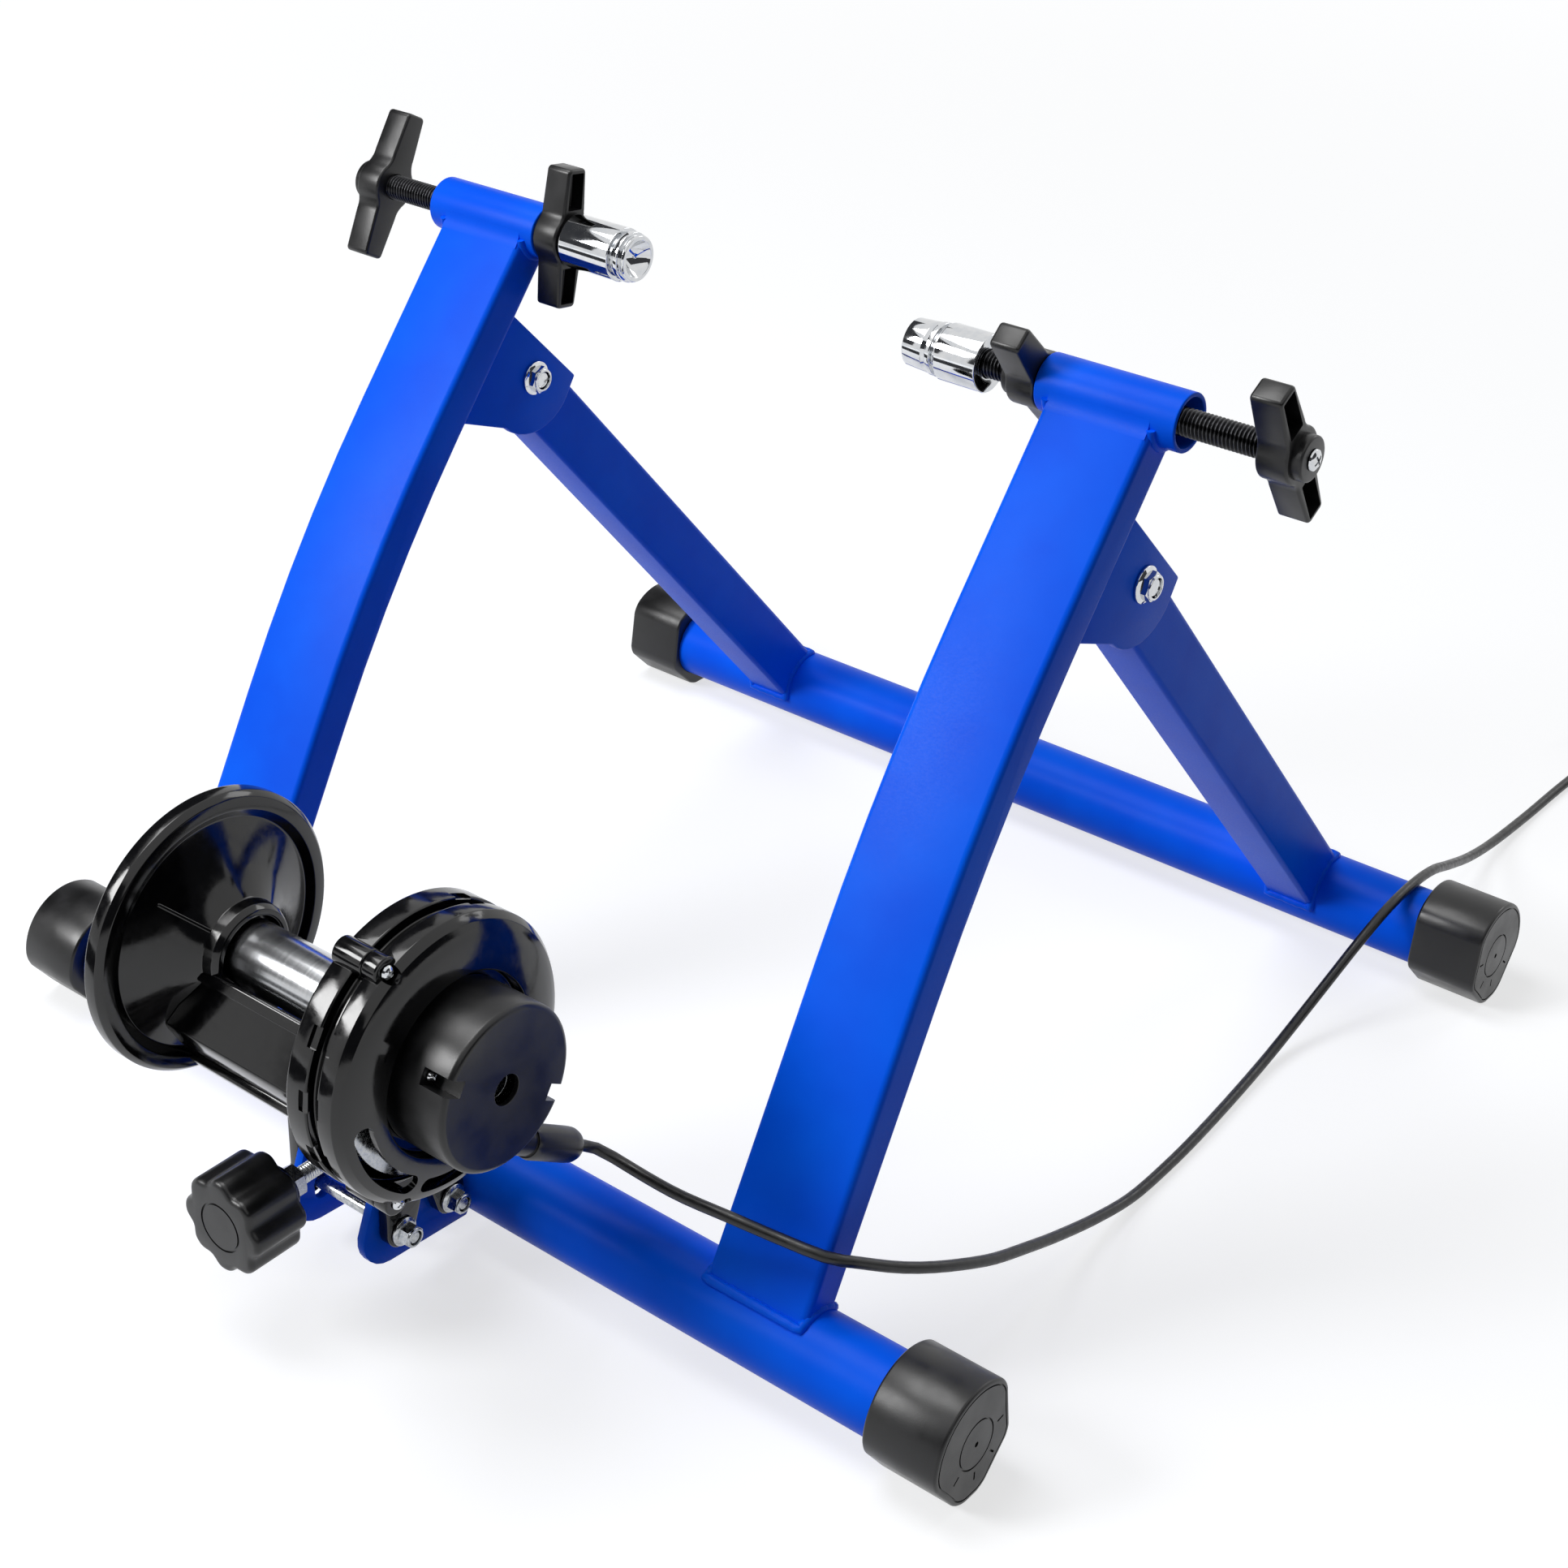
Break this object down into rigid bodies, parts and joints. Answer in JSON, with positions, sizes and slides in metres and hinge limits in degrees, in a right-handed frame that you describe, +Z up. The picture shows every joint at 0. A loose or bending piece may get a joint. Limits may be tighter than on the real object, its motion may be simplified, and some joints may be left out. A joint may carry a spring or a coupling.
{
  "type": "bike trainer",
  "caption": "Folding magnetic bike trainer: A-frame with screw-in axle cups, a tilting roller unit with flywheel and brake drums, and a remote resistance lever on a cable.",
  "frame": {"origin": "on the floor, at the centre of the footprint of the standing trainer, cable left out", "axes": "+X to the right, +Y to the rear rail, away from the roller, +Z up"},
  "size_m": [0.5504, 0.9238, 0.3975],
  "materials": {
    "blue_powder_coat": "glossy blue powder coat",
    "gloss_black_plastic": "polished black moulding",
    "black_plastic": "fine-textured black moulding",
    "black_rubber": "smooth black cable sheath",
    "chrome": "bright plating",
    "zinc_steel": "zinc plated steel",
    "turned_steel": "turned and polished steel",
    "black_oxide_steel": "black oxide on rolled thread",
    "aluminium": "plain sheet",
    "magnet": "dark sintered magnet"
  },
  "bodies": {
    "frame": {"front_rail": "blue_powder_coat", "right_front_leg": "blue_powder_coat", "right_head_tube": "blue_powder_coat", "right_pivot_ear": "blue_powder_coat", "right_fold_bolt": "chrome", "right_fold_nut": "chrome", "right_bracket_plate": "blue_powder_coat", "left_front_leg": "blue_powder_coat", "left_head_tube": "blue_powder_coat", "left_pivot_ear": "blue_powder_coat", "left_fold_bolt": "chrome", "left_fold_nut": "chrome", "left_bracket_plate": "blue_powder_coat", "spindle_trunnion": "zinc_steel", "unit_pivot_bolt": "zinc_steel", "unit_pivot_nut": "zinc_steel", "brake_cable": "black_rubber", "brake_cable_coil": "black_rubber", "shifter_body": "black_plastic", "shifter_clamp": "black_plastic"},
    "rear_frame": {"rear_rail": "blue_powder_coat", "right_rear_leg": "blue_powder_coat", "left_rear_leg": "blue_powder_coat"},
    "front_right_foot": {"front_right_foot": "black_plastic"},
    "front_left_foot": {"front_left_foot": "black_plastic"},
    "rear_right_foot": {"rear_right_foot": "black_plastic"},
    "rear_left_foot": {"rear_left_foot": "black_plastic"},
    "right_cup": {"right_clamp_cup": "chrome"},
    "right_screw": {"right_clamp_rod": "black_oxide_steel", "right_clamp_handle": "black_plastic", "right_handle_screw": "chrome"},
    "right_lock": {"right_lock_nut": "black_plastic"},
    "left_cup": {"left_clamp_cup": "chrome"},
    "left_screw": {"left_clamp_rod": "black_oxide_steel", "left_clamp_handle": "black_plastic", "left_handle_screw": "chrome"},
    "left_lock": {"left_lock_nut": "black_plastic"},
    "unit": {"flywheel_housing": "gloss_black_plastic", "flywheel_cover": "gloss_black_plastic", "roller_yoke": "gloss_black_plastic", "brake_backplate": "gloss_black_plastic", "brake_housing": "gloss_black_plastic", "housing_screw_top": "chrome", "housing_screw_bottom": "chrome", "actuator_cap": "black_plastic", "cap_screw": "chrome", "cable_gland": "black_plastic", "unit_guide_bolt": "zinc_steel", "unit_guide_nut": "zinc_steel", "fixed_magnet_ring": "magnet"},
    "rotor": {"roller": "turned_steel", "rotor_shaft": "turned_steel", "flywheel": "zinc_steel", "brake_rotor": "aluminium"},
    "magnets": {"magnet_carrier": "zinc_steel", "magnet_ring": "magnet"},
    "spindle": {"tension_spindle": "zinc_steel"},
    "knob": {"tension_knob": "black_plastic", "spindle_collar": "zinc_steel"},
    "lever": {"shifter_lever": "black_plastic"}
  },
  "joints": [
    {"name": "fold", "type": "hinge", "parent": "frame", "child": "rear_frame", "pos_m": [0, 0.0419, 0.2905], "axis": [-1, 0, 0], "range_deg": [0, 71], "deforming": ["brake_cable"]},
    {"name": "unit_tilt", "type": "hinge", "parent": "frame", "child": "unit", "pos_m": [0, -0.1949, 0.0305], "axis": [1, 0, 0], "range_deg": [0, 8], "deforming": ["brake_cable"]},
    {"name": "spindle_slide", "type": "slide", "parent": "frame", "child": "spindle", "axis": [0, 1, 0], "range_m": [-0.00431, 0]},
    {"name": "knob_turn", "type": "hinge", "parent": "spindle", "child": "knob", "pos_m": [-0.0095, -0.2691, 0.0613], "axis": [0, 1, 0], "range_deg": [-1238.5, 0]},
    {"name": "rotor_spin", "type": "hinge", "parent": "unit", "child": "rotor", "pos_m": [0, -0.2431, 0.153], "axis": [1, 0, 0], "continuous": true},
    {"name": "magnet_shift", "type": "hinge", "parent": "unit", "child": "magnets", "pos_m": [0, -0.2431, 0.153], "axis": [1, 0, 0], "range_deg": [0, 37.5]},
    {"name": "lever_turn", "type": "hinge", "parent": "frame", "child": "lever", "pos_m": [0.2118, 0.6015, 0.0172], "axis": [-1, 0, 0], "range_deg": [0, 70]},
    {"name": "right_clamp_slide", "type": "slide", "parent": "frame", "child": "right_cup", "axis": [-1, 0, 0], "range_m": [-0.0105, 0.035]},
    {"name": "right_clamp_turn", "type": "hinge", "parent": "right_cup", "child": "right_screw", "pos_m": [0.25, 0.0439, 0.364], "axis": [-1, 0, 0], "range_deg": [-2160, 7200]},
    {"name": "right_lock_turn", "type": "hinge", "parent": "frame", "child": "right_lock", "pos_m": [0.13, 0.0439, 0.364], "axis": [-1, 0, 0], "range_deg": [-90, 0]},
    {"name": "left_clamp_slide", "type": "slide", "parent": "frame", "child": "left_cup", "axis": [1, 0, 0], "range_m": [-0.00175, 0.035]},
    {"name": "left_clamp_turn", "type": "hinge", "parent": "left_cup", "child": "left_screw", "pos_m": [-0.25, 0.0439, 0.364], "axis": [1, 0, 0], "range_deg": [-360, 7200]},
    {"name": "left_lock_turn", "type": "hinge", "parent": "frame", "child": "left_lock", "pos_m": [-0.13, 0.0439, 0.364], "axis": [1, 0, 0], "range_deg": [-90, 0]},
    {"name": "front_right_foot_turn", "type": "hinge", "parent": "frame", "child": "front_right_foot", "pos_m": [0.255, -0.1666, 0.0265], "axis": [1, 0, 0], "range_deg": [-30, 30]},
    {"name": "front_left_foot_turn", "type": "hinge", "parent": "frame", "child": "front_left_foot", "pos_m": [-0.255, -0.1666, 0.0265], "axis": [1, 0, 0], "range_deg": [-30, 30]},
    {"name": "rear_right_foot_turn", "type": "hinge", "parent": "rear_frame", "child": "rear_right_foot", "pos_m": [0.255, 0.2779, 0.0265], "axis": [1, 0, 0], "range_deg": [-30, 30]},
    {"name": "rear_left_foot_turn", "type": "hinge", "parent": "rear_frame", "child": "rear_left_foot", "pos_m": [-0.255, 0.2779, 0.0265], "axis": [1, 0, 0], "range_deg": [-30, 30]}
  ],
  "couplings": [
    {"joint": "spindle_slide", "follows": "unit_tilt", "m_per_rad": -0.0308},
    {"joint": "knob_turn", "follows": "unit_tilt", "ratio": -154.8},
    {"joint": "lever_turn", "follows": "magnet_shift", "ratio": 1.8666},
    {"joint": "right_clamp_turn", "follows": "right_clamp_slide", "rad_per_m": 3590.4},
    {"joint": "left_clamp_turn", "follows": "left_clamp_slide", "rad_per_m": 3590.4}
  ]
}
